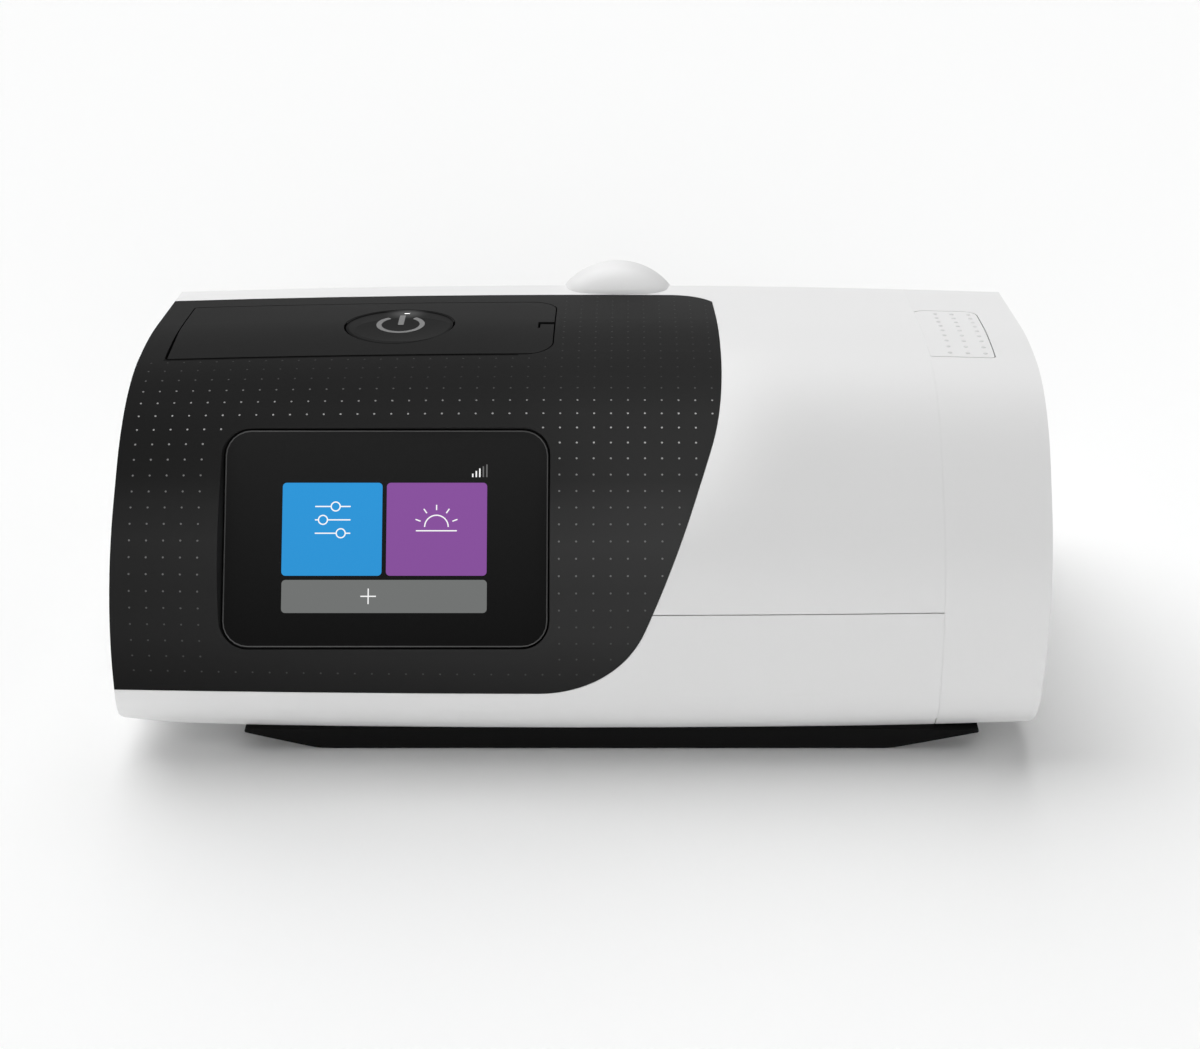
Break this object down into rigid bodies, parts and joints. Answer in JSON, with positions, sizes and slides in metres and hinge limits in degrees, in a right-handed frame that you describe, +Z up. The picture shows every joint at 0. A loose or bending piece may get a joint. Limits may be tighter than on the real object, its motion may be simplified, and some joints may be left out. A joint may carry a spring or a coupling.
{
  "type": "CPAP machine",
  "caption": "Bedside air-pressure therapy machine: curved casing with tilted screen, top cover with dished button, slide-out humidifier tub and rear hose outlet.",
  "frame": {"origin": "on the surface it stands on, under the middle of the overall box", "axes": "+X along the machine towards the humidifier tub, -Y is the front with the screen, +Z up"},
  "size_m": [0.2592, 0.1384, 0.095],
  "materials": {
    "shell_pale": "smooth satin pale grey moulding",
    "fascia_dark": "satin charcoal moulding",
    "button_dark": "satin charcoal, dished",
    "plinth_black": "matte black",
    "rubber_black": "matte",
    "screen_glass": "polished, dark tint",
    "display_dark": "dark display panel",
    "lamp_clear": "clear light pipe",
    "board_green": "solder-masked board",
    "card_blue": "plain moulded card",
    "inner_grey": "moulded, unpainted",
    "inner_pale": "moulded, unpainted",
    "copper": "wound copper on laminated core",
    "steel": "plain",
    "brass_plain": "bright contacts",
    "aluminium_plain": "brushed",
    "foam_grey": "open-cell foam",
    "filter_pale": "pleated paper and felt",
    "tub_clear": "clear moulded polycarbonate"
  },
  "bodies": {
    "housing": {"base_plinth": "plinth_black", "rubber_feet": "rubber_black", "lower_casing": "shell_pale", "upper_casing": "shell_pale", "front_fascia": "fascia_dark", "screen_glass": "screen_glass", "screen_gasket": "rubber_black", "display_panel": "display_dark", "card_well": "fascia_dark", "hinge_pin": "steel", "button_switch": "board_green", "main_board": "board_green", "radio_module": "steel", "card_socket": "steel", "blower_lower": "inner_grey", "blower_upper": "inner_grey", "motor_bearings": "steel", "motor_can": "steel", "motor_stator": "copper", "blower_mount": "rubber_black", "blower_duct": "inner_grey", "outlet_duct": "inner_grey", "inlet_foam": "foam_grey", "filter_hinge_pin": "steel", "air_filter": "filter_pale", "power_socket": "plinth_black", "socket_contacts": "brass_plain", "bay_liner": "inner_grey", "heater_plate": "aluminium_plain", "bay_port_seals": "rubber_black", "outlet_spigot": "inner_pale", "outlet_seal": "rubber_black", "casing_screws": "steel", "board_screws": "steel"},
    "rotor": {"impeller": "inner_pale", "rotor_shaft": "steel"},
    "card_door": {"card_door": "fascia_dark"},
    "power_button": {"power_button": "button_dark", "status_light_pipe": "lamp_clear"},
    "memory_card": {"memory_card": "card_blue"},
    "tub": {"tub_base": "tub_clear", "tub_heat_plate": "steel", "tub_seal": "rubber_black", "tub_lid": "tub_clear", "tub_end_cap": "shell_pale"},
    "release_pad": {"tub_release_pad": "shell_pale"},
    "filter_cover": {"filter_cover": "shell_pale"}
  },
  "joints": [
    {"name": "impeller_spin", "type": "hinge", "parent": "housing", "child": "rotor", "pos_m": [-0.0587, 0.006, 0.03], "axis": [0, 0, 1], "continuous": true},
    {"name": "card_door_hinge", "type": "hinge", "parent": "housing", "child": "card_door", "pos_m": [-0.1115, 0.0058, 0.08917], "axis": [0, -1, 0], "range_deg": [0, 90]},
    {"name": "power_button_press", "type": "slide", "parent": "housing", "child": "power_button", "axis": [0, 0, -1], "range_m": [0, 0.0008], "stiffness_N_per_m": 800, "springref_m": -0.0005},
    {"name": "memory_card_eject", "type": "slide", "parent": "housing", "child": "memory_card", "axis": [0, 0, 1], "range_m": [0, 0.0035]},
    {"name": "tub_slide", "type": "slide", "parent": "housing", "child": "tub", "axis": [1, 0, 0], "range_m": [0, 0.13]},
    {"name": "release_press", "type": "slide", "parent": "tub", "child": "release_pad", "axis": [0, 0, -1], "range_m": [0, 0.0012], "stiffness_N_per_m": 700, "springref_m": -0.0005},
    {"name": "filter_cover_hinge", "type": "hinge", "parent": "housing", "child": "filter_cover", "pos_m": [-0.0957, 0.06484, 0.0209], "axis": [-1, 0, 0], "range_deg": [0, 90]}
  ]
}
